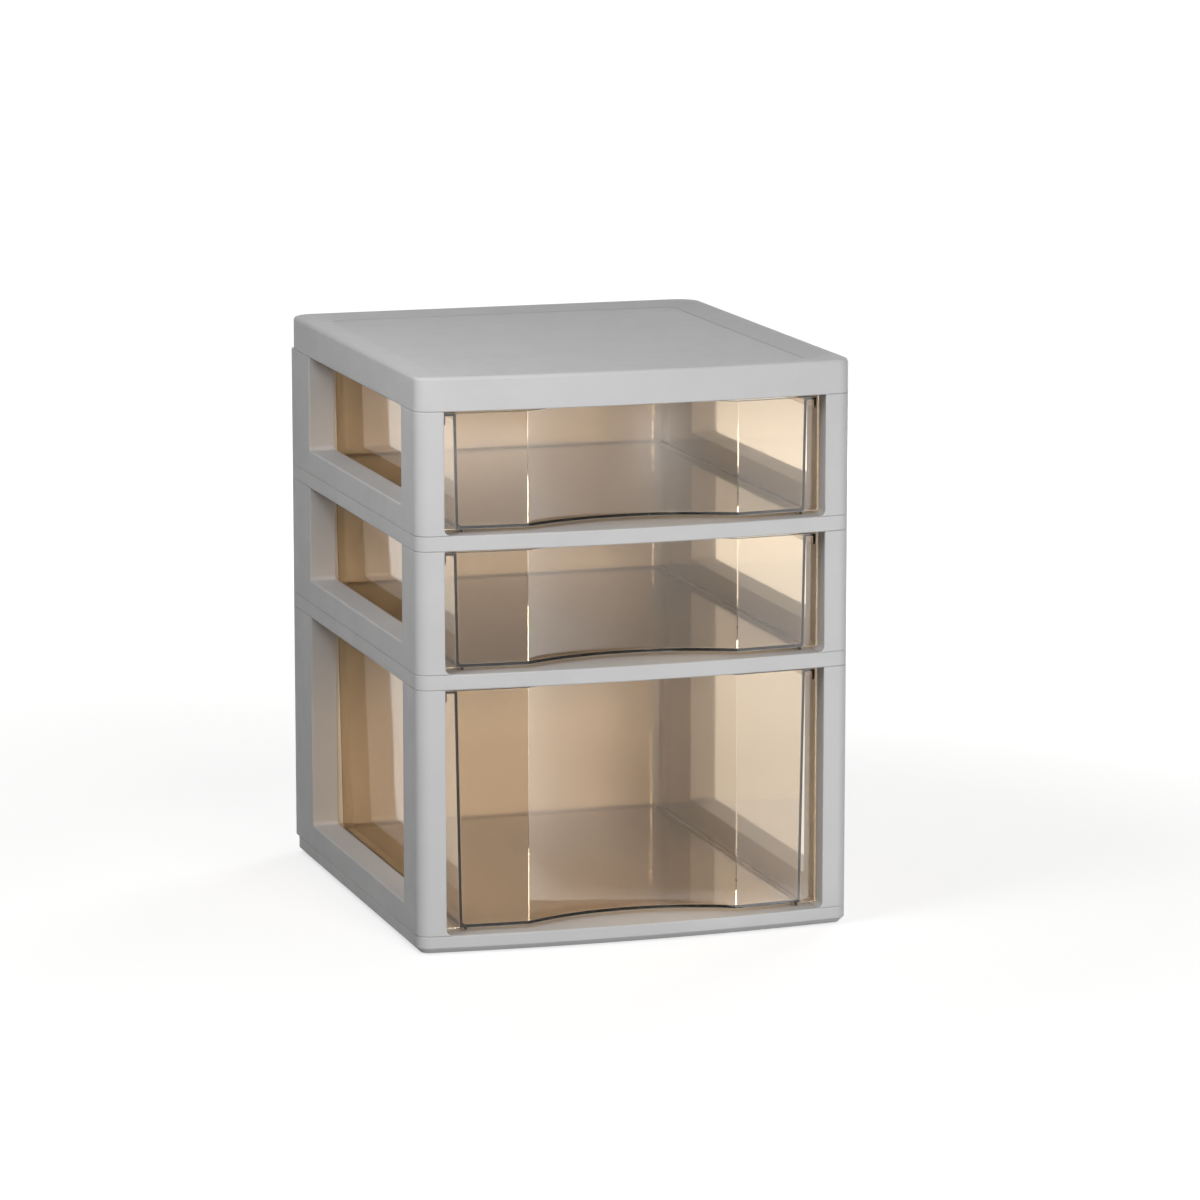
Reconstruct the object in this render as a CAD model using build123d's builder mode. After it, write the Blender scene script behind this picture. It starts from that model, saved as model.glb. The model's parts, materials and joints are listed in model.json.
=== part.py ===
from build123d import *
import os
from math import radians, sqrt, tan

# Desktop drawer organizer: a flat-packed, moulded cabinet with three see-through drawers.
# Millimetres. X runs to the right, the front faces -Y and Z is up. The origin is the middle of
# the footprint, on the surface that the foot pads stand on.

# Outside of the cabinet
width = 320
height = 410
corner_depth = 352  # from the rear face to the line through the two front corners
front_bow = 9.5  # the middle of every plate's front stands this far ahead of that line
corner_radius = 10  # upright corners of the side frames and the shelves
cap_rear_radius = 18
base_rear_radius = 20

# Heights, from the floor up: the large bay at the bottom takes what these leave
foot_proud = 1
base_height = 12.5
shelf_height = 11
small_bay = 87
cap_height = 24.5

# Grey mouldings
skin = 2.2
rib = 1.6
rib_count = 7  # stiffening ribs that run from front to back under a plate
inside_radius = 3
edge_break = 0.5
fit_gap = 0.2  # all round a plug in its socket
overrun = 1  # how far a cut runs past a face

# Top panel
cap_edge_radius = 2.5
dish_border = 5  # flat border round the dished top
dish_slope = 20  # width of the slope that leads down to the dish floor
dish_depth = 3
dish_step = 0.3  # upright foot of that slope
dish_radius = 36

# Base panel and its foot pads
base_edge = 4
base_skirt = 6.5
foot_radius = 9
foot_height = 2.5
foot_inset = 30  # from the pad's centre to the outside faces
foot_wall = 3  # round the pad's seat

# Side frames
side_thickness = 20
front_post = 38.5
rear_post = 58
sill_height = 17
window_radius = 3
window_edge = 1.2
plug_length = 20
plug_height = 6
plug_chamfer = 1
cove_radius = 4  # where the front post meets the plate below it
cove_edge = 0.4  # thickness of the cove at its end
stop_rib = 3
stop_proud = 1.6

# Back panels
back_thickness = 2
back_tongue = 6
groove_height = 4

# Drawers
drawer_setback = 12  # of the drawer fronts behind the plates' fronts
drawer_top_gap = 3
drawer_side_gap = 1
panel_thickness = 2.4
wall = 2
floor_thickness = 2.2
draft = 1  # degrees
box_side_gap = 10  # from the box wall to the side frame, at the rim
box_rear_gap = 13  # from the box's rear wall to the rear face
box_radius = 8
box_floor_edge = 1.5  # height of the bevel round the floor
box_floor_angle = 45  # degrees, of that bevel
scoop_width = 155
scoop_depth = 18.5
rim_reach = 7.5
rim_rear_reach = 3.5
rim_thickness = 2
lip_height = 8
runner_width = 3
runner_height = 2.5
lug_length = 7
lug_proud = 1.6
travel = 240
stop_gap = 0.3

# Places worked out from the sizes above
half_width = width / 2
depth = corner_depth + front_bow
rear_y = depth / 2
front_apex_y = -depth / 2
corner_y = front_apex_y + front_bow
bow_radius = (half_width**2 + front_bow**2) / (2 * front_bow)
bow_centre_y = front_apex_y + bow_radius

base_bottom = foot_proud
base_top = base_bottom + base_height
cap_bottom = height - cap_height
upper_shelf_top = cap_bottom - small_bay
upper_shelf_bottom = upper_shelf_top - shelf_height
lower_shelf_top = upper_shelf_bottom - small_bay
lower_shelf_bottom = lower_shelf_top - shelf_height
large_bay = lower_shelf_bottom - base_top

bay_half = half_width - side_thickness
frame_x = half_width - side_thickness / 2
socket_width = side_thickness - 2 * skin
window_front = corner_y + front_post
window_rear = rear_y - rear_post
window_middle = (window_front + window_rear) / 2
window_length = window_rear - window_front
front_plug_y = window_front - skin - fit_gap - plug_length / 2
rear_plug_y = window_rear + skin + fit_gap + plug_length / 2
plug_ys = (front_plug_y, rear_plug_y)

back_rear_y = rear_y - skin - fit_gap
back_front_y = back_rear_y - back_thickness
groove_front_y = back_front_y - fit_gap
back_half = bay_half - fit_gap

foot_places = {
    "front_left_foot": (foot_inset - half_width, corner_y + foot_inset),
    "front_right_foot": (half_width - foot_inset, corner_y + foot_inset),
    "rear_left_foot": (foot_inset - half_width, rear_y - foot_inset),
    "rear_right_foot": (half_width - foot_inset, rear_y - foot_inset),
}


def front_y(x, inset):
    """Place of the bowed front at x, drawn in by inset."""
    return bow_centre_y - sqrt((bow_radius - inset) ** 2 - x**2)


stop_front_y = front_y(bay_half, drawer_setback + panel_thickness) + stop_gap
stop_rear_y = stop_front_y + stop_rib
lug_y = stop_rear_y + stop_gap + travel


def plate_plan(level, inset, front_radius, rear_radius):
    """Plan of the cabinet with its bowed front, drawn in by inset on every side.

    The radii are those of the outline itself, and shrink with the inset.
    """
    half = half_width - inset
    front = front_y(half, inset)
    rear = rear_y - inset
    front_round = max(front_radius - inset, inside_radius)
    rear_round = max(rear_radius - inset, inside_radius)
    with BuildSketch(Plane.XY.offset(level)) as plan:
        with BuildLine():
            Polyline((-half, front), (-half, rear), (half, rear), (half, front))
            ThreePointArc((half, front), (0, front_apex_y + inset), (-half, front))
        make_face()
        fillet(plan.vertices().group_by(Axis.Y)[0], radius=front_round)
        fillet(plan.vertices().group_by(Axis.Y)[-1], radius=rear_round)
    return plan.sketch


def hollow_plan(level, skirt, rear_radius):
    """Plan of the pockets under a plate, with the ribs that are left standing between them."""
    rib_pitch = 2 * bay_half / (rib_count + 1)
    rib_end = groove_front_y - rib
    with BuildSketch(Plane.XY.offset(level)) as plan:
        add(plate_plan(0, skirt, corner_radius, rear_radius))
        with Locations((bay_half + skin / 2, 0), (-bay_half - skin / 2, 0)):
            Rectangle(skin, depth, mode=Mode.SUBTRACT)
        with Locations((0, groove_front_y - rib / 2)):
            Rectangle(2 * bay_half, rib, mode=Mode.SUBTRACT)
        with Locations((0, (front_apex_y + rib_end) / 2)):
            with GridLocations(rib_pitch, 0, rib_count, 1):
                Rectangle(rib, rib_end - front_apex_y, mode=Mode.SUBTRACT)
        for plug_y in plug_ys:
            wall_offset = plug_length / 2 + fit_gap + rib / 2
            with Locations((0, plug_y - wall_offset), (0, plug_y + wall_offset)):
                with GridLocations(2 * frame_x, 0, 2, 1):
                    Rectangle(side_thickness, rib, mode=Mode.SUBTRACT)
    return plan.sketch


def plug_plan(level, sides):
    """Plan of the plugs that locate the posts on the given sides."""
    with BuildSketch(Plane.XY.offset(level)) as plan:
        with Locations(*[(side * frame_x, y) for side in sides for y in plug_ys]):
            Rectangle(socket_width - 2 * fit_gap, plug_length)
    return plan.sketch


def groove_plan(level):
    """Plan of the two upstands that hold the foot of a back panel."""
    with BuildSketch(Plane.XY.offset(level)) as plan:
        with Locations((0, groove_front_y - rib / 2)):
            Rectangle(2 * back_half, rib)
        with Locations((0, back_rear_y + fit_gap + skin / 2)):
            Rectangle(2 * back_half, skin)
    return plan.sketch


def shelf(bottom):
    """Plate between two bays: plugs and a groove on top, sockets and ribs underneath."""
    top = bottom + shelf_height
    with BuildPart() as plate:
        extrude(plate_plan(bottom, 0, corner_radius, corner_radius), amount=shelf_height)
        chamfer(plate.edges().filter_by(Plane.XY), length=edge_break)
        extrude(hollow_plan(bottom, skin, corner_radius), amount=shelf_height - skin, mode=Mode.SUBTRACT)
        plugs = extrude(plug_plan(top, (-1, 1)), amount=plug_height)
        chamfer(plugs.edges().group_by(Axis.Z)[-1], length=plug_chamfer)
        extrude(groove_plan(top), amount=groove_height)
    return plate.part


def top_panel():
    """Cap with a deep skirt and a shallow dished top."""
    hollow_depth = cap_height - dish_depth - skin
    with BuildPart() as plate:
        extrude(plate_plan(cap_bottom, 0, corner_radius, cap_rear_radius), amount=cap_height)
        fillet(plate.edges().group_by(Axis.Z)[-1], radius=cap_edge_radius)
        chamfer(plate.edges().group_by(Axis.Z)[0], length=edge_break)
        dish = plate_plan(height, dish_border + dish_slope, dish_radius, dish_radius)
        extrude(dish, amount=-dish_depth, mode=Mode.SUBTRACT)
        border = plate.faces().sort_by(Axis.Z)[-1]
        slope_edges = border.inner_wires()[0].edges()
        chamfer(slope_edges, length=dish_slope, length2=dish_depth - dish_step, reference=border)
        hollow = hollow_plan(cap_bottom, skin, cap_rear_radius)
        extrude(hollow, amount=hollow_depth, mode=Mode.SUBTRACT)
    return plate.part


def base_panel():
    """Bottom plate with a bevelled bottom edge and a seat for each foot pad."""
    with BuildPart() as plate:
        extrude(plate_plan(base_bottom, 0, corner_radius, base_rear_radius), amount=base_height)
        chamfer(plate.edges().group_by(Axis.Z)[0], length=base_edge)
        chamfer(plate.edges().group_by(Axis.Z)[-1], length=edge_break)
        with BuildSketch(Plane.XY.offset(base_bottom)):
            add(hollow_plan(0, base_skirt, base_rear_radius))
            with Locations(*foot_places.values()):
                Circle(foot_radius + fit_gap + foot_wall, mode=Mode.SUBTRACT)
        extrude(amount=base_height - skin, mode=Mode.SUBTRACT)
        with BuildSketch(Plane.XY.offset(base_bottom)):
            with Locations(*foot_places.values()):
                Circle(foot_radius + fit_gap)
        extrude(amount=foot_height - foot_proud, mode=Mode.SUBTRACT)
        plugs = extrude(plug_plan(base_top, (-1, 1)), amount=plug_height)
        chamfer(plugs.edges().group_by(Axis.Z)[-1], length=plug_chamfer)
        extrude(groove_plan(base_top), amount=groove_height)
    return plate.part


def foot_pad(place):
    """Thin round pad, pressed into its seat under the base."""
    with BuildPart() as pad:
        with BuildSketch():
            with Locations(place):
                Circle(foot_radius)
        extrude(amount=foot_height)
    return pad.part


def side_frame(floor, bay, side):
    """U-shaped frame at one side of a bay: two hollow posts and a hollow sill rail."""
    inner = 0 if side > 0 else -1
    with BuildPart() as frame:
        with BuildSketch(Plane.XY.offset(floor)):
            add(plate_plan(0, 0, corner_radius, corner_radius))
            with Locations((side * frame_x, 0)):
                Rectangle(side_thickness, depth, mode=Mode.INTERSECT)
        extrude(amount=bay)
        chamfer(frame.edges().filter_by(Axis.Z).group_by(Axis.X)[inner], length=edge_break)

        with BuildSketch(Plane.YZ) as window:
            with Locations((window_middle, floor + sill_height)):
                Rectangle(window_length, bay, align=(Align.CENTER, Align.MIN))
            fillet(window.vertices().group_by(Axis.Y)[0], radius=window_radius)
        extrude(amount=width, both=True, mode=Mode.SUBTRACT)
        outer_face = frame.faces().sort_by(Axis.X)[-1 - inner]
        window_edges = outer_face.edges().filter_by(
            lambda edge: window_front - fit_gap < edge.bounding_box().min.Y
            and edge.bounding_box().max.Y < window_rear + fit_gap
        )
        fillet(window_edges, radius=window_edge)

        for post_start, post_end in ((front_apex_y, window_front), (window_rear, rear_y)):
            with BuildSketch(Plane.XY.offset(floor)):
                add(plate_plan(0, skin, corner_radius, base_rear_radius))
                with Locations((side * frame_x, (post_start + post_end) / 2)):
                    Rectangle(socket_width, post_end - post_start - 2 * skin, mode=Mode.INTERSECT)
            extrude(amount=bay - skin, mode=Mode.SUBTRACT)
        with BuildSketch(Plane.XY.offset(floor)):
            with Locations((side * frame_x, window_middle)):
                Rectangle(socket_width, window_length + 2 * skin + 2 * overrun)
        extrude(amount=sill_height - skin, mode=Mode.SUBTRACT)

        cove_end = bay_half - cove_radius
        with BuildSketch(Plane.XY.offset(floor)):
            add(plate_plan(0, 0, corner_radius, corner_radius))
            with Locations((side * (cove_end + bay_half + edge_break) / 2, front_apex_y)):
                Rectangle(cove_radius + edge_break, 2 * front_post, mode=Mode.INTERSECT)
        extrude(amount=cove_radius + cove_edge)
        with BuildSketch(Plane.XZ):
            with Locations((side * cove_end, floor + cove_edge + cove_radius)):
                Circle(cove_radius)
        extrude(amount=depth, both=True, mode=Mode.SUBTRACT)

        plugs = extrude(plug_plan(floor + bay, (side,)), amount=plug_height)
        chamfer(plugs.edges().group_by(Axis.Z)[-1], length=plug_chamfer)
        with BuildSketch(Plane.XY.offset(floor)):
            with Locations((side * bay_half, (stop_front_y + stop_rear_y) / 2)):
                Rectangle(2 * stop_proud, stop_rib)
        extrude(amount=bay)
    return frame.part


def back_panel(floor, bay):
    """Thin panel behind a bay: its foot stands in one plate's groove, its tongue in the next."""
    with BuildPart() as panel:
        with BuildSketch(Plane.XY.offset(floor)):
            with Locations((0, (back_front_y + back_rear_y) / 2)):
                Rectangle(2 * back_half, back_thickness)
        extrude(amount=bay + back_tongue)
        chamfer(panel.edges().filter_by(Axis.Y), length=edge_break)
    return panel.part


def front_line(half, inset):
    """Plan line of a drawer front from left to right: bowed, with a concave scoop between creases."""
    crease = scoop_width / 2
    between = (half + crease) / 2
    edge_y = front_y(half, inset)
    between_y = front_y(between, inset)
    crease_y = front_y(crease, inset)
    with BuildLine() as line:
        ThreePointArc((-half, edge_y), (-between, between_y), (-crease, crease_y))
        ThreePointArc((-crease, crease_y), (0, crease_y + scoop_depth), (crease, crease_y))
        ThreePointArc((crease, crease_y), (between, between_y), (half, edge_y))
    return line.line


def ahead_plan(level, inset):
    """Plan of all that lies ahead of a drawer front."""
    start = front_apex_y - overrun
    edge_y = front_y(half_width, inset)
    with BuildSketch(Plane.XY.offset(level)) as plan:
        with BuildLine():
            add(front_line(half_width, inset))
            Polyline((half_width, edge_y), (half_width, start), (-half_width, start), (-half_width, edge_y))
        make_face()
    return plan.sketch


def front_panel_plan(level):
    """Plan of a drawer's front panel, which reaches past the box on both sides."""
    half = bay_half - drawer_side_gap
    outside = front_line(half, drawer_setback)
    inside = front_line(half, drawer_setback + panel_thickness)
    with BuildSketch(Plane.XY.offset(level)) as plan:
        with BuildLine():
            add(outside)
            add(inside)
            Line(outside @ 0, inside @ 0)
            Line(outside @ 1, inside @ 1)
        make_face()
    return plan.sketch


def box_plan(level, half, rear, radius):
    """Plan of a drawer's box, which runs on past the drawer front to be trimmed there."""
    front = front_apex_y + drawer_setback
    with BuildSketch(Plane.XY.offset(level)) as plan:
        with Locations((0, rear)):
            Rectangle(2 * half, rear - front, align=(Align.CENTER, Align.MAX))
        fillet(plan.vertices().group_by(Axis.Y)[-1], radius=radius)
    return plan.sketch


def drawer(bay_floor, bay_height):
    """One-piece moulded drawer: drafted box, scooped front, turned-down rim, runners and stops."""
    bottom = bay_floor + runner_height
    top = bay_floor + bay_height - drawer_top_gap
    box_height = top - bottom
    drawn_in = box_height * tan(radians(draft))
    rim_half = bay_half - box_side_gap
    rim_rear = rear_y - box_rear_gap
    foot_half = rim_half - drawn_in
    foot_rear = rim_rear - drawn_in
    outside = drawer_setback
    inside = drawer_setback + panel_thickness
    bevel_top = bottom + floor_thickness + box_floor_edge
    inside_height = top - bevel_top
    inside_half = rim_half - wall
    inside_rear = rim_rear - wall
    bevel_inset = inside_height * tan(radians(draft))
    corner_inside = box_radius - wall
    runner_end = foot_rear - box_radius

    with BuildPart() as cavity:
        rim_opening = box_plan(top, inside_half, inside_rear, corner_inside + bevel_inset)
        extrude(rim_opening, amount=-inside_height, taper=draft)
        bevel_plan = box_plan(bevel_top, inside_half - bevel_inset, inside_rear - bevel_inset, corner_inside)
        extrude(bevel_plan, amount=-box_floor_edge, taper=box_floor_angle)
        extrude(ahead_plan(bottom, inside), amount=2 * box_height, mode=Mode.SUBTRACT)

    with BuildPart() as body:
        extrude(box_plan(bottom, foot_half, foot_rear, box_radius), amount=box_height, taper=-draft)
        rim_plan = box_plan(top, rim_half + rim_reach, rim_rear + rim_rear_reach, box_radius)
        extrude(rim_plan, amount=-rim_thickness)
        with BuildSketch(Plane.XY.offset(top)):
            add(box_plan(0, rim_half + rim_reach, rim_rear + rim_rear_reach, box_radius))
            add(
                box_plan(0, rim_half + rim_reach - rim_thickness, rim_rear, box_radius - rim_thickness),
                mode=Mode.SUBTRACT,
            )
        extrude(amount=-lip_height)
        for side in (-1, 1):
            lip_x = side * (rim_half + rim_reach)
            with BuildSketch(Plane.XY.offset(top)):
                with BuildLine():
                    lug_tip = (lip_x + side * lug_proud, lug_y)
                    Polyline((lip_x, lug_y), lug_tip, (lip_x, lug_y + lug_length), close=True)
                make_face()
            extrude(amount=-lip_height)
        with BuildSketch(Plane.XY.offset(bottom)):
            with Locations((0, front_apex_y)):
                with GridLocations(2 * foot_half - runner_width - 2 * wall, 0, 2, 1):
                    Rectangle(runner_width, runner_end - front_apex_y, align=(Align.CENTER, Align.MIN))
        extrude(amount=-runner_height)
        extrude(ahead_plan(bay_floor, outside), amount=bay_height, mode=Mode.SUBTRACT)
        extrude(front_panel_plan(bottom), amount=box_height)
        add(cavity.part, mode=Mode.SUBTRACT)
    return body.part


pieces = {
    "top_panel": top_panel(),
    "upper_shelf": shelf(upper_shelf_bottom),
    "lower_shelf": shelf(lower_shelf_bottom),
    "base_panel": base_panel(),
}
bays = {
    "upper": (upper_shelf_top, small_bay),
    "middle": (lower_shelf_top, small_bay),
    "lower": (base_top, large_bay),
}
for tier, (bay_floor, bay_height) in bays.items():
    pieces[tier + "_left_side"] = side_frame(bay_floor, bay_height, -1)
    pieces[tier + "_right_side"] = side_frame(bay_floor, bay_height, 1)
    pieces[tier + "_back"] = back_panel(bay_floor, bay_height)
    pieces[tier + "_drawer"] = drawer(bay_floor, bay_height)
for foot_name, foot_place in foot_places.items():
    pieces[foot_name] = foot_pad(foot_place)

os.makedirs("parts", exist_ok=True)
for piece_name, piece in pieces.items():
    piece.label = piece_name
    export_step(piece, f"parts/{piece_name}.step")
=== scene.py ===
"""Looks of the desktop drawer organizer: satin grey shell, tea-tinted clear drawers, rubber pads."""
import json
from math import cos, radians, sin

import bpy
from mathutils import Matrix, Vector


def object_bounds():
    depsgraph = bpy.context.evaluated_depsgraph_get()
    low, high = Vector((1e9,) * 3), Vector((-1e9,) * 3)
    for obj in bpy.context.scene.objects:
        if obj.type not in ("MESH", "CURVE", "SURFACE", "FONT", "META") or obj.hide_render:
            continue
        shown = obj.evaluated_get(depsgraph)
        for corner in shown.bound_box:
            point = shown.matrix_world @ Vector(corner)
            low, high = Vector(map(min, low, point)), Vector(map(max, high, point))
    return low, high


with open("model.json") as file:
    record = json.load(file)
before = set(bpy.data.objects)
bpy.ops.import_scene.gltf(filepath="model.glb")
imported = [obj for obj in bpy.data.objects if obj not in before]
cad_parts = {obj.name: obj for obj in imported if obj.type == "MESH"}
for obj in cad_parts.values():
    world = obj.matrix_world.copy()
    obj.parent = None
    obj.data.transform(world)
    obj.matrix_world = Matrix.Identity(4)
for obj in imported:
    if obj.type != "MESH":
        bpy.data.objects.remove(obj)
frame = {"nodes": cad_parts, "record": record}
cad_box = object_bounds()
nodes = frame["nodes"]
scene = bpy.context.scene

# Lengths and places are in metres, angles in degrees and colours linear

# Camera: the photograph's viewpoint
VIEW_YAW = 17.55
VIEW_PITCH = 10.48
VIEW_DISTANCE = 4.0136
VIEW_AIM = Vector((0.0251, -0.0080, 0.2154))
LENS_MM = 164.29
SENSOR_MM = 36.0

# Masks: what counts as none and as all of a share, as an edge and as a flat, as a seam and as open
WHOLE = (0.0, 1.0)
NOISE_RANGE = (0.3, 0.7)
EDGE_TO_FLAT = (0.75, 0.99)
EDGE_SAMPLES = 6
SEAM_TO_OPEN = (0.25, 0.9)
SEAM_SAMPLES = 4
MATT_ROUGHNESS = 1.0

# Satin shell: colours, roughness, and textures with blotches about a grain across
SHELL_GREYS = ((0.562, 0.563, 0.571, 1), (0.584, 0.584, 0.590, 1))
SHELL_MOTTLE = {"grain": 0.035, "detail": 3}
# Edges are paler, partly from wear and partly as a painted highlight
SHELL_WORN_AND_HIGHLIT_EDGE_GREY = (0.60, 0.60, 0.605, 1)
SHELL_EDGE_RADIUS = 0.0012
# Seams and corners are darker through an occlusion mask: painted shade
SHELL_SEAM_SHADE_GREY = (0.50, 0.495, 0.49, 1)
SHELL_SEAM_REACH = 0.006
SHELL_SEAM_SHADE_SHARE = 0.5
SHELL_SHINE = 0.4
SHELL_ROUGHNESS = (0.50, 0.62)
SHELL_WEAR = {"grain": 0.012, "detail": 4}
SHELL_SINK = {"grain": 0.08, "detail": 1, "depth": 0.0006, "strength": 0.10}
SHELL_SKIN = {"grain": 0.0006, "detail": 2, "depth": 0.00008, "strength": 0.35}

# Tea-tinted polystyrene: edges are paler and less clear than flats as a painted highlight, and wiping
# leaves upright streaks
TEA_CLEAR = (0.97, 0.95, 0.92, 1)
TEA_EDGE_HIGHLIGHT = (0.78, 0.68, 0.56, 1)
TEA_EDGE_RADIUS = 0.0013
TEA_FLAT_TO_EDGE_CLARITY = (1.0, 0.45)
TEA_ABSORPTION = (0.68, 0.46, 0.12, 1)
TEA_DENSITY = 150.0
# TEA_SHADOW lets in less lamp light than the plastic alone would: painted shade inside the drawers
TEA_SHADOW = (0.83, 0.80, 0.75, 1)
TEA_ROUGHNESS = (0.015, 0.06)
TEA_STREAKS = {"grain": 0.004, "detail": 5, "stretch": (1, 1, 0.12)}
TEA_WAVES = {"grain": 0.03, "detail": 1, "depth": 0.0003, "strength": 0.12}
POLYSTYRENE_IOR = 1.58

# Rubber pads
RUBBER_GREYS = ((0.055, 0.055, 0.057, 1), (0.085, 0.085, 0.088, 1))
RUBBER_DUST = {"grain": 0.003, "detail": 4}
RUBBER_ROUGHNESS = (0.75, 0.92)
RUBBER_WEAR = {"grain": 0.002, "detail": 3}
RUBBER_PITS = {"grain": 0.0008, "detail": 2, "depth": 0.0001, "strength": 0.5}

# Surroundings: what matt surfaces get from them, and the white that the eye sees
AMBIENT = (0.155, 0.151, 0.145, 1)
WHITE = (1, 1, 1, 1)

# Floor: its glow grows from near to far while it fades to white
FLOOR_SIZE = 40.0
FLOOR_SHOWN = (0.5, 0.5, 0.5, 1)
FLOOR_GLOWS = (0.69, 1.0)
FLOOR_FADE = (0.45, 1.6)
FLOOR_BOUNCE = (0.19, 0.185, 0.18, 1)

# Flag: a dark upright panel on the left, by its front and rear and its bottom and top
FLAG_GREY = (0.12, 0.115, 0.11, 1)
FLAG_X = -1.0
FLAG_YS = (-0.45, 1.2)
FLAG_ZS = (0.1, 0.9)

# Gloss card: it lies on the floor from its near edge to its bend, and stands up from there
CARD_GLOW = 4.2
CARD_NEAR_LEFT, CARD_NEAR_RIGHT = (0.0, -0.27), (0.06, -0.195)
CARD_BEND_LEFT, CARD_BEND_RIGHT = (0.10, -0.63), (0.44, -0.29)
CARD_BOTTOM = 0.002
CARD_TOP = 0.34

# Lamps: a broad key in front, a fill for the back and the right, and a weak one over the left
LAMPS = {
    "key": {"place": (0.2, -2.7, 0.55), "size": (0.8, 0.6), "watts": 40},
    "fill": {"place": (1.6, 1.6, 0.6), "size": (1.0, 1.0), "watts": 31},
    "over": {"place": (-0.62, -0.37, 0.9), "size": (0.5, 0.5), "watts": 4.0},
}


def start_material(name):
    """A node material with one Principled shader, and the pieces needed to add to it."""
    material = bpy.data.materials.new(name)
    material.use_nodes = True
    tree = material.node_tree
    tree.nodes.clear()
    output = tree.nodes.new("ShaderNodeOutputMaterial")
    shader = tree.nodes.new("ShaderNodeBsdfPrincipled")
    tree.links.new(shader.outputs["BSDF"], output.inputs["Surface"])
    return material, tree, shader, output


def noise(tree, grain, detail, stretch=(1, 1, 1)):
    """Noise in the object's own space, with blotches about a grain across."""
    place = tree.nodes.new("ShaderNodeTexCoord")
    mapping = tree.nodes.new("ShaderNodeMapping")
    mapping.inputs["Scale"].default_value = stretch
    texture = tree.nodes.new("ShaderNodeTexNoise")
    texture.inputs["Scale"].default_value = 1 / grain
    texture.inputs["Detail"].default_value = detail
    tree.links.new(place.outputs["Object"], mapping.inputs["Vector"])
    tree.links.new(mapping.outputs["Vector"], texture.inputs["Vector"])
    return texture.outputs["Fac"]


def spread(tree, value, targets, sources=NOISE_RANGE):
    """The value between two sources, carried over to between two targets."""
    node = tree.nodes.new("ShaderNodeMapRange")
    for end, source, target in zip(("Min", "Max"), sources, targets):
        node.inputs[f"From {end}"].default_value = source
        node.inputs[f"To {end}"].default_value = target
    tree.links.new(value, node.inputs["Value"])
    return node.outputs["Result"]


def blend_colours(tree, share, first, second):
    """Colours mixed by share. Each is a colour or a socket."""
    node = tree.nodes.new("ShaderNodeMix")
    node.data_type = "RGBA"
    tree.links.new(share, node.inputs["Factor"])
    for name, colour in (("A", first), ("B", second)):
        socket = next(s for s in node.inputs if s.name == name and s.type == "RGBA")
        if isinstance(colour, tuple):
            socket.default_value = colour
        else:
            tree.links.new(colour, socket)
    return next(s for s in node.outputs if s.type == "RGBA")


def blend_shaders(tree, share, first, second):
    """Shaders mixed by share."""
    node = tree.nodes.new("ShaderNodeMixShader")
    for source, socket in zip((share, first, second), node.inputs):
        tree.links.new(source, socket)
    return node.outputs["Shader"]


def rounded_normal(tree, radius):
    """A normal that turns smoothly over edges, as if they had this radius."""
    node = tree.nodes.new("ShaderNodeBevel")
    node.samples = EDGE_SAMPLES
    node.inputs["Radius"].default_value = radius
    return node.outputs["Normal"]


def relief(tree, depth, strength, under=None, **texture):
    """A normal that follows a noise texture as a height map, over another normal if there is one."""
    node = tree.nodes.new("ShaderNodeBump")
    node.inputs["Strength"].default_value = strength
    node.inputs["Distance"].default_value = depth
    tree.links.new(noise(tree, **texture), node.inputs["Height"])
    if under:
        tree.links.new(under, node.inputs["Normal"])
    return node.outputs["Normal"]


def edge_share(tree, rounded):
    """Near 1 on edges and 0 on flats: how far a rounded normal leaves the true one."""
    true = tree.nodes.new("ShaderNodeNewGeometry")
    dot = tree.nodes.new("ShaderNodeVectorMath")
    dot.operation = "DOT_PRODUCT"
    tree.links.new(rounded, dot.inputs[0])
    tree.links.new(true.outputs["Normal"], dot.inputs[1])
    return spread(tree, dot.outputs["Value"], WHOLE[::-1], EDGE_TO_FLAT)


def seam_shade_share(tree, reach, most):
    """The most deep in seams and corners, and 0 in the open: an occlusion mask for painted shade."""
    hollow = tree.nodes.new("ShaderNodeAmbientOcclusion")
    hollow.samples = SEAM_SAMPLES
    hollow.inputs["Distance"].default_value = reach
    return spread(tree, hollow.outputs["AO"], (most, 0), SEAM_TO_OPEN)


def satin_shell():
    """Moulded polypropylene: faintly mottled grey, fine spark-eroded skin, edges paler by wear and a
    painted highlight, painted shade in seams and corners.
    """
    material, tree, shader, _ = start_material("satin_shell")
    rounded = rounded_normal(tree, SHELL_EDGE_RADIUS)
    mottle = blend_colours(tree, spread(tree, noise(tree, **SHELL_MOTTLE), WHOLE), *SHELL_GREYS)
    # Paler edges: partly wear, partly a painted highlight
    worn_and_highlit = blend_colours(tree, edge_share(tree, rounded), mottle, SHELL_WORN_AND_HIGHLIT_EDGE_GREY)
    # Painted shade: darker in seams and corners, by occlusion
    seam_shade = seam_shade_share(tree, SHELL_SEAM_REACH, SHELL_SEAM_SHADE_SHARE)
    dust_and_shade = blend_colours(tree, seam_shade, worn_and_highlit, SHELL_SEAM_SHADE_GREY)
    tree.links.new(dust_and_shade, shader.inputs["Base Color"])
    shader.inputs["Specular IOR Level"].default_value = SHELL_SHINE
    wear = noise(tree, **SHELL_WEAR)
    tree.links.new(spread(tree, wear, SHELL_ROUGHNESS), shader.inputs["Roughness"])
    sink = relief(tree, under=rounded, **SHELL_SINK)
    tree.links.new(relief(tree, under=sink, **SHELL_SKIN), shader.inputs["Normal"])
    return material


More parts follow.
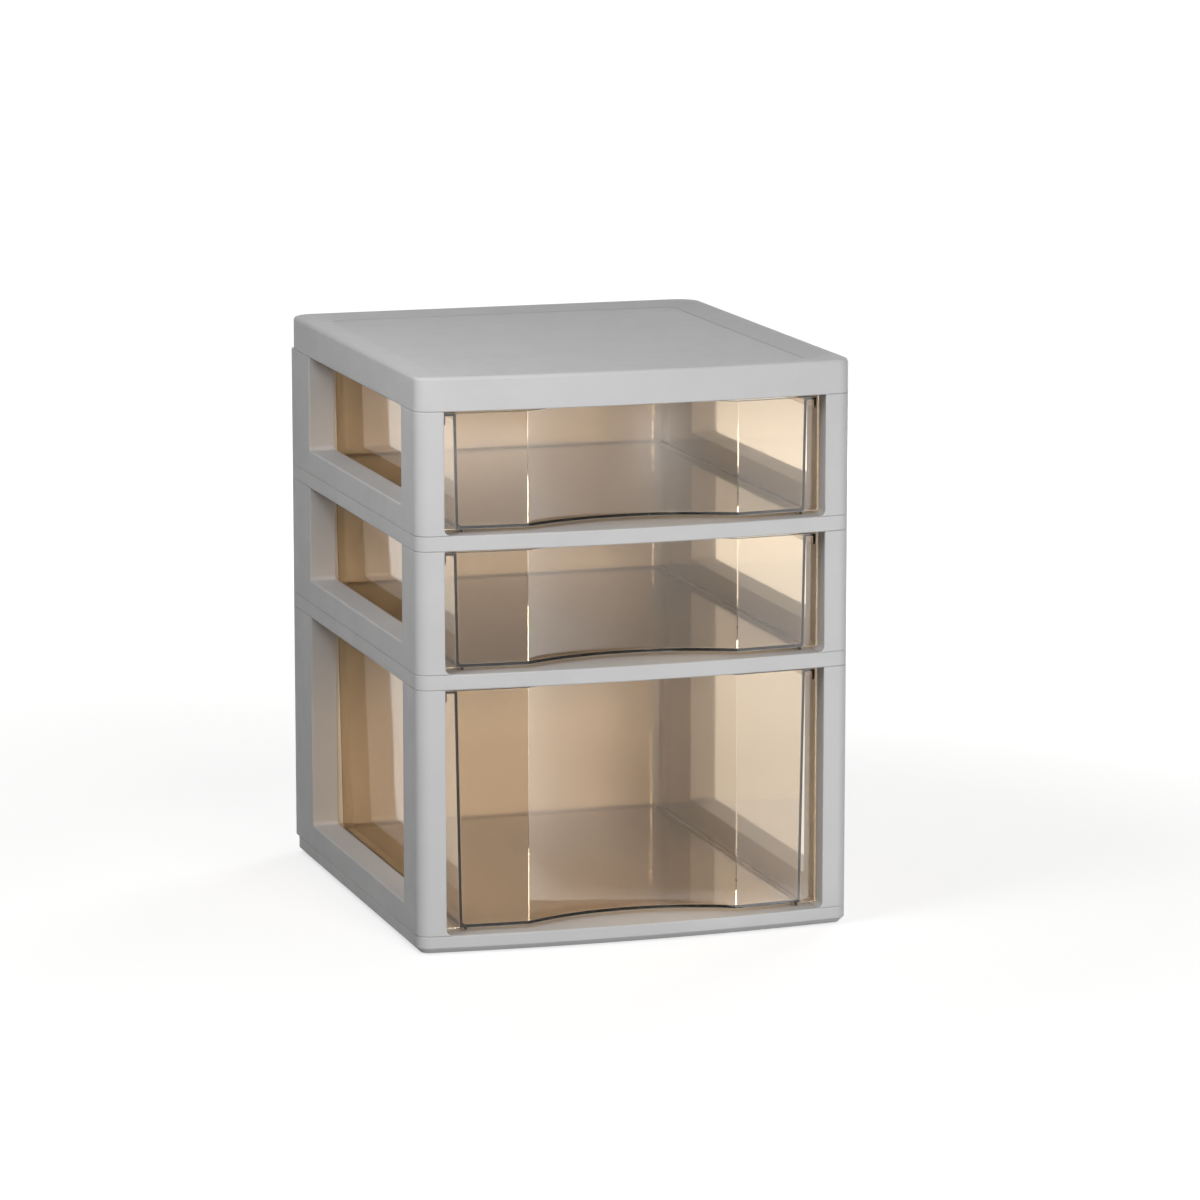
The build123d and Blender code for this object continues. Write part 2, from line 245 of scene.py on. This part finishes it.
def tea_clear():
    """Glossy polystyrene that tints light by the length of its way through, and lets lamps in, dimmed
    beyond the plastic's own tint as painted shade.
    """
    material, tree, shader, output = start_material("tea_clear")
    # Painted highlight: edges turn paler ivory and less clear
    highlit_edges = edge_share(tree, rounded_normal(tree, TEA_EDGE_RADIUS))
    tree.links.new(blend_colours(tree, highlit_edges, TEA_CLEAR, TEA_EDGE_HIGHLIGHT), shader.inputs["Base Color"])
    clarity = spread(tree, highlit_edges, TEA_FLAT_TO_EDGE_CLARITY, WHOLE)
    tree.links.new(clarity, shader.inputs["Transmission Weight"])
    shader.inputs["IOR"].default_value = POLYSTYRENE_IOR
    streaks = noise(tree, **TEA_STREAKS)
    tree.links.new(spread(tree, streaks, TEA_ROUGHNESS), shader.inputs["Roughness"])
    tree.links.new(relief(tree, **TEA_WAVES), shader.inputs["Normal"])
    clear = tree.nodes.new("ShaderNodeBsdfTransparent")
    clear.inputs["Color"].default_value = TEA_SHADOW
    shadow = tree.nodes.new("ShaderNodeLightPath").outputs["Is Shadow Ray"]
    surface = blend_shaders(tree, shadow, shader.outputs["BSDF"], clear.outputs["BSDF"])
    tree.links.new(surface, output.inputs["Surface"])
    inside = tree.nodes.new("ShaderNodeVolumeAbsorption")
    inside.inputs["Color"].default_value = TEA_ABSORPTION
    inside.inputs["Density"].default_value = TEA_DENSITY
    tree.links.new(inside.outputs["Volume"], output.inputs["Volume"])
    return material


def foot_rubber():
    """Matt rubber with a dusty, pitted skin."""
    material, tree, shader, _ = start_material("foot_rubber")
    dust_and_shade = blend_colours(tree, spread(tree, noise(tree, **RUBBER_DUST), WHOLE), *RUBBER_GREYS)
    tree.links.new(dust_and_shade, shader.inputs["Base Color"])
    wear = noise(tree, **RUBBER_WEAR)
    tree.links.new(spread(tree, wear, RUBBER_ROUGHNESS), shader.inputs["Roughness"])
    tree.links.new(relief(tree, **RUBBER_PITS), shader.inputs["Normal"])
    return material


def dress_nodes():
    """Each CAD node gets the finish of its material slot in the record."""
    finishes = {"grey_shell": satin_shell(), "tea_clear": tea_clear(), "foot_rubber": foot_rubber()}
    for part in frame["record"]["subparts"]:
        piece = nodes[part["node"]]
        piece.data.materials.clear()
        piece.data.materials.append(finishes[part["material_slot"]])


def shown_to_eye(tree):
    """1 for rays that show the surroundings to the eye: straight, mirrored or through glass."""
    path = tree.nodes.new("ShaderNodeLightPath")
    seen = path.outputs["Is Camera Ray"]
    for name in ("Is Glossy Ray", "Is Transmission Ray"):
        either = tree.nodes.new("ShaderNodeMath")
        either.operation = "MAXIMUM"
        tree.links.new(seen, either.inputs[0])
        tree.links.new(path.outputs[name], either.inputs[1])
        seen = either.outputs["Value"]
    return seen


def light_surroundings():
    """White to the eye, and a soft even light to matt surfaces."""
    world = bpy.data.worlds.new("surroundings")
    world.use_nodes = True
    scene.world = world
    tree = world.node_tree
    sky = next(n for n in tree.nodes if n.type == "BACKGROUND")
    tree.links.new(blend_colours(tree, shown_to_eye(tree), AMBIENT, WHITE), sky.inputs["Color"])


def pale_floor():
    """Pale and fading to white for the eye, and darker where it bounces light to matt surfaces."""
    material, tree, bounce, output = start_material("pale_floor")
    bounce.inputs["Base Color"].default_value = FLOOR_BOUNCE
    bounce.inputs["Roughness"].default_value = MATT_ROUGHNESS
    pale = tree.nodes.new("ShaderNodeBsdfDiffuse")
    pale.inputs["Color"].default_value = FLOOR_SHOWN
    glow = tree.nodes.new("ShaderNodeEmission")
    place = tree.nodes.new("ShaderNodeTexCoord")
    away = tree.nodes.new("ShaderNodeVectorMath")
    away.operation = "LENGTH"
    tree.links.new(place.outputs["Object"], away.inputs[0])
    glows = spread(tree, away.outputs["Value"], FLOOR_GLOWS, FLOOR_FADE)
    tree.links.new(glows, glow.inputs["Strength"])
    shown = tree.nodes.new("ShaderNodeAddShader")
    tree.links.new(pale.outputs["BSDF"], shown.inputs[0])
    tree.links.new(glow.outputs["Emission"], shown.inputs[1])
    eye = shown_to_eye(tree)
    surface = blend_shaders(tree, eye, bounce.outputs["BSDF"], shown.outputs["Shader"])
    tree.links.new(surface, output.inputs["Surface"])
    return material


def lay_floor():
    """A wide floor, which keeps the object's shadow."""
    half = FLOOR_SIZE / 2
    corners = [(-half, -half, 0), (half, -half, 0), (half, half, 0), (-half, half, 0)]
    mesh = bpy.data.meshes.new("floor")
    mesh.from_pydata(corners, [], [(0, 1, 2, 3)])
    floor = bpy.data.objects.new("floor", mesh)
    scene.collection.objects.link(floor)
    mesh.materials.append(pale_floor())


def set_panel(name, corners, faces, material):
    """A stage panel that is hidden from the camera and behind glass, and throws no shadow."""
    mesh = bpy.data.meshes.new(name)
    mesh.from_pydata(corners, [], faces)
    mesh.materials.append(material)
    panel = bpy.data.objects.new(name, mesh)
    panel.visible_camera = False
    panel.visible_transmission = False
    panel.visible_shadow = False
    scene.collection.objects.link(panel)
    return panel


def place_flag():
    """A dark panel on the left, which keeps that side's light and reflections down."""
    material, _, shader, _ = start_material("flag")
    shader.inputs["Base Color"].default_value = FLAG_GREY
    shader.inputs["Roughness"].default_value = MATT_ROUGHNESS
    corners = [(FLAG_X, y, z) for y in FLAG_YS for z in FLAG_ZS]
    set_panel("flag", corners, [(0, 1, 3, 2)], material)


def fading_glow():
    """A glow that grows out of nothing along U."""
    material, tree, shader, output = start_material("gloss_card")
    tree.nodes.remove(shader)
    place = tree.nodes.new("ShaderNodeTexCoord")
    along = tree.nodes.new("ShaderNodeSeparateXYZ")
    tree.links.new(place.outputs["UV"], along.inputs["Vector"])
    clear = tree.nodes.new("ShaderNodeBsdfTransparent")
    glow = tree.nodes.new("ShaderNodeEmission")
    glow.inputs["Strength"].default_value = CARD_GLOW
    surface = blend_shaders(tree, along.outputs["X"], clear.outputs["BSDF"], glow.outputs["Emission"])
    tree.links.new(surface, output.inputs["Surface"])
    return material


def place_card():
    """A glowing card that only the gloss of the object shows, and that fades out to the left."""
    ends = ((CARD_NEAR_LEFT, CARD_BEND_LEFT), (CARD_NEAR_RIGHT, CARD_BEND_RIGHT))
    corners = []
    for near, bend in ends:
        corners += [(*near, CARD_BOTTOM), (*bend, CARD_BOTTOM), (*bend, CARD_TOP)]
    card = set_panel("gloss_card", corners, [(0, 1, 4, 3), (1, 2, 5, 4)], fading_glow())
    card.visible_diffuse = False
    fade = card.data.uv_layers.new(name="fade")
    for loop in card.data.loops:
        on_right = loop.vertex_index >= len(corners) // len(ends)
        fade.data[loop.index].uv = (on_right, 0)


def soft_lamp(name, place, size, watts):
    """A soft box of this width and height at place, turned towards the object's middle."""
    data = bpy.data.lights.new(name, "AREA")
    data.shape = "RECTANGLE"
    data.size, data.size_y = size
    data.energy = watts
    lamp = bpy.data.objects.new(name, data)
    lamp.location = place
    middle = (cad_box[0] + cad_box[1]) / 2
    lamp.rotation_euler = (middle - lamp.location).to_track_quat("-Z", "Y").to_euler()
    lamp.visible_camera = False
    scene.collection.objects.link(lamp)


def set_camera():
    """The photograph's viewpoint, with a view that reaches past the floor's far edge."""
    yaw, pitch = radians(VIEW_YAW), radians(VIEW_PITCH)
    forward = Vector((sin(yaw) * cos(pitch), cos(yaw) * cos(pitch), -sin(pitch)))
    data = bpy.data.cameras.new("camera")
    data.lens = LENS_MM
    data.sensor_width = SENSOR_MM
    data.clip_end = 2 * FLOOR_SIZE
    camera = bpy.data.objects.new("camera", data)
    camera.location = VIEW_AIM - VIEW_DISTANCE * forward
    camera.rotation_euler = forward.to_track_quat("-Z", "Y").to_euler()
    scene.collection.objects.link(camera)
    scene.camera = camera


dress_nodes()
light_surroundings()
lay_floor()
place_flag()
place_card()
for lamp_name, lamp_values in LAMPS.items():
    soft_lamp(lamp_name, **lamp_values)
set_camera()
scene.view_settings.view_transform = "Standard"
